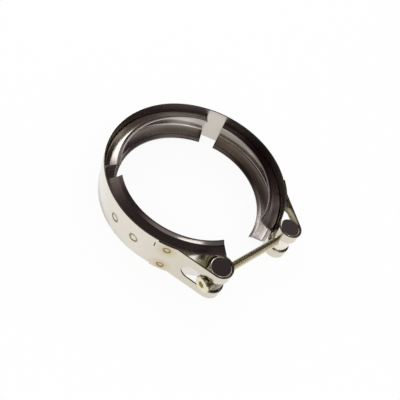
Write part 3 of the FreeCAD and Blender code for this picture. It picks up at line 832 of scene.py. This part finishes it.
def cut_thread(material):
    """A right-hand thread cut on a rod along X: a grid rolled up, its radius set by the helix."""
    tree, start, end = new_tree(
        "cut_thread", "GeometryNodeTree",
        {
            "Start X": 0.0, "Length": 0.08, "Plain Length": 0.006, "Pitch": PITCH,
            "Crest Radius": THREAD_CREST, "Root Radius": THREAD_ROOT, "Tip Chamfer": 0.0007,
            "Axis Y": 0.0, "Rows": 640, "Turn Steps": 28,
        },
        {"Rod": None},
    )
    start_x, length, plain, pitch, crest, root, chamfer, axis_y, rows, steps = start.outputs[:10]
    grid = put(tree, "GeometryNodeMeshGrid", {
        "Size X": length, "Size Y": 2 * math.pi,
        "Vertices X": rows, "Vertices Y": maths(tree, "ADD", steps, 1.0),
    })
    across, turn, _ = parts(tree, put(tree, "GeometryNodeInputPosition").outputs[0])
    along = maths(tree, "ADD", across, times(tree, length, 0.5))
    turned = maths(tree, "DIVIDE", turn, 2 * math.pi)
    phase = maths(tree, "SUBTRACT", maths(tree, "DIVIDE", along, pitch), turned)
    phase = maths(tree, "FRACT", maths(tree, "ADD", phase, 1.0))
    sunk = maths(tree, "ABSOLUTE", maths(tree, "SUBTRACT", phase, 0.5))
    sunk = maths(tree, "SUBTRACT", sunk, CREST_FLAT)
    sunk = maths(tree, "MULTIPLY", sunk, FLANK_SLOPE, clamp=True)
    past = maths(tree, "SUBTRACT", along, plain)
    run_in = maths(tree, "MULTIPLY", past, RUN_IN_SLOPE, clamp=True)
    depth = times(tree, maths(tree, "SUBTRACT", crest, root), sunk)
    radius = maths(tree, "SUBTRACT", crest, times(tree, depth, run_in))
    left = maths(tree, "SUBTRACT", length, along)
    limit = maths(tree, "ADD", maths(tree, "SUBTRACT", crest, chamfer), left)
    radius = maths(tree, "MINIMUM", radius, limit)
    # the first and last rows shrink to a point, which closes the rod
    closed = maths(tree, "GREATER_THAN", maths(tree, "MINIMUM", left, along), SAME_POINT)
    radius = times(tree, radius, closed)
    x = maths(tree, "ADD", along, start_x)
    y = maths(tree, "ADD", times(tree, radius, maths(tree, "COSINE", turn)), axis_y)
    z = times(tree, radius, maths(tree, "SINE", turn))
    return finish_tree(tree, end, grid, joined(tree, x, y, z), material)


def make_screw(material):
    rod = add_object("screw_shank", bpy.data.meshes.new("screw_shank"))
    length = SCREW_TIP - SHANK_START
    rows = ROWS_PER_TURN * round(length / PITCH) + 1
    grow(rod, cut_thread(material), Start_X=SHANK_START, Length=length, Axis_Y=PIN_Y, Rows=rows)
    with edited(rod.data) as form:
        bmesh.ops.recalc_face_normals(form, faces=form.faces)
    shade(rod.data, sharp=70)
    mesh = merged_copy("screw", "screw_head")
    with edited(mesh) as form:
        shank = [face for face in form.faces if face.calc_center_median().x > HEAD_UNDER + 1e-4]
        bmesh.ops.delete(form, geom=shank, context="FACES")
        cap_holes(form)
    shade(mesh, sharp=30)
    head = add_piece("screw_head", mesh, material)
    soften_edges(head, FINE_EASING, angle=50)
    for piece in (rod, head):
        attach(piece, "screw")
        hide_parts("screw")


def make_pin(name, body, side, side_tint, end_tint):
    material = pin_steel(name + "_steel", (side * PIN_X, PIN_Y, 0.0), side_tint, end_tint)
    mesh = merged_copy(name, name + "_turned")
    shade(mesh, sharp=30)
    piece = add_piece(name + "_turned", mesh, material)
    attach(piece, body)
    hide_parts(name)


# Camera and floor

CAMERA_PLACE = (-0.204766, -0.134506, 0.280537)
CAMERA_TURN = (36.45926, -17.20198, -37.24487)
CAMERA_LENS = 44.5953
FLOOR_RADIUS = 3.0
FLOOR_GAP = 0.0001
FLOOR_PAINT = (0.93, 0.93, 0.925, 1)
FLOOR_SEEN = 0.92
FLOOR_MIRRORED = 0.8
WHITE = (1, 1, 1, 1)


def make_camera():
    data = bpy.data.cameras.new("camera")
    data.sensor_width = 36.0
    data.lens = CAMERA_LENS
    data.clip_start = 0.01
    data.clip_end = 20.0
    camera = add_object("camera", data)
    camera.location = CAMERA_PLACE
    camera.rotation_euler = [math.radians(turn) for turn in CAMERA_TURN]
    bpy.context.scene.camera = camera


def pale_floor():
    """Matt pale paint, shown as white to the camera and, a little darker, to the steel."""
    material = bpy.data.materials.new("pale_floor")
    material.use_nodes = True
    tree = material.node_tree
    tree.nodes.clear()
    paint = put(tree, "ShaderNodeBsdfDiffuse", {"Color": FLOOR_PAINT})
    white = put(tree, "ShaderNodeEmission", {"Color": WHITE, "Strength": 1.0})
    path = put(tree, "ShaderNodeLightPath").outputs
    seen = times(tree, path["Is Camera Ray"], FLOOR_SEEN)
    mirrored = times(tree, path["Is Glossy Ray"], FLOOR_MIRRORED)
    share = maths(tree, "ADD", seen, mirrored, clamp=True)
    mix = put(tree, "ShaderNodeMixShader", {0: share, 1: paint.outputs[0], 2: white.outputs[0]})
    put(tree, "ShaderNodeOutputMaterial", {0: mix.outputs[0]})
    return material


def make_floor():
    mesh = bpy.data.meshes.new("floor")
    with edited(mesh) as form:
        bmesh.ops.create_circle(form, cap_ends=True, segments=64, radius=FLOOR_RADIUS)
    mesh.transform(Matrix.Translation((0, 0, -STRIP_TOP - FLOOR_GAP)))
    floor = add_piece("floor", mesh, pale_floor())


# Light

# The room's level at the horizon and overhead, and the pale cards in it: azimuth, elevation,
# full and faded radius in degrees, level.
ROOM_LEVEL = (0.13, 0.046)
CARDS = [
    (212, 42, 5, 40, 0.36),
    (262, 12, 14, 32, 1.1),
    (283, 49, 5, 23, 0.44),
    (303, 28, 8, 34, 0.20),
    (350, 27, 5, 13, 1.0),
    (122, 20, 4, 18, 0.22),
    (72, 26, 15, 26, 0.9),
    (90, 32, 8, 36, 0.36),
]
ROOM_TINT = (1.0, 0.77, 0.76, 1)
CARD_TINT = (1.0, 0.975, 0.94, 1)
PLAIN_LIGHT = (0.9, 0.9, 0.9, 1)
LAMP_DISTANCE = 1.0


def feathered_card():
    """How bright a round card with a feathered edge is, seen in one direction of the studio."""
    tree, start, end = new_tree(
        "feathered_card", "ShaderNodeTree",
        {
            "Way": (0.0, 0.0, 1.0), "Middle": (0.0, 0.0, 1.0), "Outer Cosine": 0.8,
            "Inner Cosine": 0.9, "Level": 1.0, "Before": 0.0,
        },
        {"Brightness": 0.0},
    )
    way, middle, outer, inner, level, before = start.outputs[:6]
    near = vector_maths(tree, "DOT_PRODUCT", way, middle)
    here = times(tree, ramp(tree, near, outer, inner), level)
    return hand_out(tree, end, maths(tree, "MAXIMUM", here, before))


def make_world():
    """White to the camera, plain to matt things, and a dim room with pale cards to the steel."""
    world = bpy.data.worlds.new("studio")
    bpy.context.scene.world = world
    world.use_nodes = True
    tree = world.node_tree
    tree.nodes.clear()
    card = feathered_card()
    way = put(tree, "ShaderNodeTexCoord").outputs["Generated"]
    height = parts(tree, way)[2]
    level = ramp(tree, height, 0.0, 0.6, *ROOM_LEVEL)
    for azimuth, elevation, inner, outer, strength in CARDS:
        level = use_group(
            tree, card, Way=way, Middle=sky(azimuth, elevation), Level=strength, Before=level,
            Outer_Cosine=math.cos(math.radians(outer)), Inner_Cosine=math.cos(math.radians(inner)),
        )[0]
    tint = blend_colour(tree, ramp(tree, level, 0.05, 0.6), ROOM_TINT, CARD_TINT)
    links = {0: tint, "Scale": level}
    studio = put(tree, "ShaderNodeVectorMath", links, operation="SCALE").outputs[0]
    below = ramp(tree, height, -0.02, 0.0, 1.0, 0.0)
    studio = blend_colour(tree, below, studio, PLAIN_LIGHT)
    path = put(tree, "ShaderNodeLightPath").outputs
    even = blend_colour(tree, path["Is Diffuse Ray"], studio, PLAIN_LIGHT)
    shown = blend_colour(tree, path["Is Camera Ray"], even, WHITE)
    background = put(tree, "ShaderNodeBackground", {0: shown, 1: 1.0})
    put(tree, "ShaderNodeOutputWorld", {0: background.outputs[0]})


def add_softbox(name, azimuth, elevation, width, height, radiance):
    data = bpy.data.lights.new(name, "AREA")
    data.shape = "RECTANGLE"
    data.size, data.size_y = width, height
    data.energy = radiance * math.pi * width * height
    lamp = add_object(name, data)
    away = sky(azimuth, elevation)
    lamp.location = away * LAMP_DISTANCE
    lamp.rotation_mode = "QUATERNION"
    lamp.rotation_quaternion = away.to_track_quat("Z", "Y")


make_camera()
make_floor()
make_world()
add_softbox("softbox_front", azimuth=242, elevation=38, width=0.42, height=0.32, radiance=2.1)
add_softbox("softbox_left", azimuth=74, elevation=29, width=0.54, height=0.46, radiance=1.5)

make_band(band_sheet())
make_inserts(insert_sheet())
# the plain pin's dark olive side is painted shade between its loop's legs
make_pin(
    "plain_trunnion", "plain_pin", side=-1,
    side_tint=(0.16, 0.145, 0.085), end_tint=(0.62, 0.62, 0.66),
)
make_pin(
    "threaded_trunnion", "threaded_pin", side=1,
    side_tint=(0.86, 0.82, 0.72), end_tint=(0.97, 0.95, 0.90),
)
make_screw(screw_steel())

bpy.context.scene.view_settings.view_transform = "Standard"
